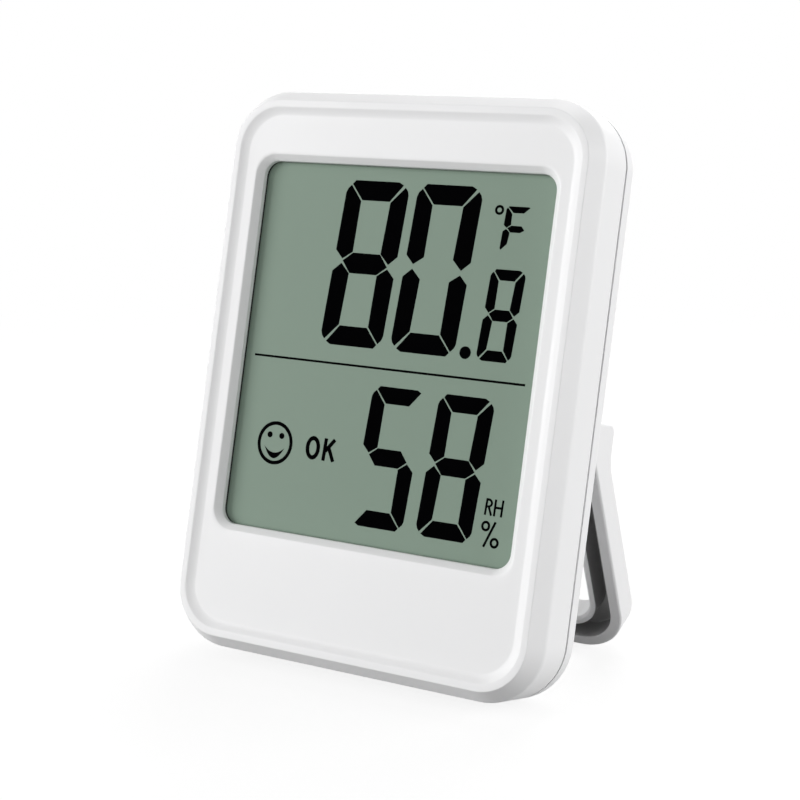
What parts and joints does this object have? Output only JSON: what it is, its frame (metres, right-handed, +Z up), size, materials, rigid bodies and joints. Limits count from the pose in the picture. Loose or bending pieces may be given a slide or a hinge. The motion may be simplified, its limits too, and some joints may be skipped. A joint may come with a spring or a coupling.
{
  "type": "desk thermometer and hygrometer",
  "caption": "Slim white desk thermometer and hygrometer: rounded case, large reflective display, rear battery box with sliding door, and a folding U-shaped stand.",
  "frame": {"origin": "middle of the base rectangle of the whole object as it stands on its open stand: Z=0 is the surface it stands on", "axes": "+Z up; the display faces -Y and leans back by 14.2 degrees; +X is to the right seen from the front"},
  "size_m": [0.059, 0.0382, 0.0796],
  "materials": {
    "case_plastic": "satin white moulded",
    "stand_plastic": "satin white moulded",
    "button_plastic": "satin grey moulded",
    "foam": "matt black foam",
    "display_film": "anti-glare film",
    "display_glass": "polished",
    "reflector": "diffuse silver-green film",
    "holder_plastic": "natural white moulded",
    "rubber": "soft striped rubber",
    "board": "green solder mask",
    "screw_steel": "zinc plated",
    "resin": "cast black resin",
    "can_metal": "drawn metal can",
    "chip_ceramic": "fired",
    "chip_plastic": "moulded black",
    "cell_jacket": "plain shrink sleeve",
    "contact_metal": "nickel plated spring strip"
  },
  "bodies": {
    "case": {"front_casing": "case_plastic", "rear_cover": "case_plastic", "display_gasket": "foam", "lcd_front_polarizer": "display_film", "lcd_front_glass": "display_glass", "lcd_rear_glass": "display_glass", "lcd_reflector": "reflector", "lcd_holder": "holder_plastic", "rubber_connector": "rubber", "main_board": "board", "board_screws": "screw_steel", "case_screws": "screw_steel", "controller_blob": "resin", "watch_crystal": "can_metal", "chip_components": "chip_ceramic", "humidity_sensor": "chip_plastic", "thermistor": "resin", "unit_switch": "chip_plastic", "battery_left": "cell_jacket", "battery_right": "cell_jacket", "contact_bridge": "contact_metal", "contact_positive": "contact_metal", "contact_negative": "contact_metal"},
    "stand": {"stand": "stand_plastic"},
    "battery_door": {"battery_door": "case_plastic"},
    "unit_button": {"unit_button": "button_plastic", "switch_plunger": "chip_plastic"}
  },
  "joints": [
    {"name": "stand_hinge", "type": "hinge", "parent": "case", "child": "stand", "pos_m": [0, 0.00357, 0.03479], "axis": [-1, 0, 0], "range_deg": [0, 36]},
    {"name": "door_slide", "type": "slide", "parent": "case", "child": "battery_door", "axis": [0, 0.2453, 0.9694], "range_m": [0, 0.05]},
    {"name": "button_press", "type": "slide", "parent": "case", "child": "unit_button", "axis": [0, -0.9694, 0.2453], "range_m": [0, 0.0005], "stiffness_N_per_m": 400, "springref_m": -0.0005}
  ]
}
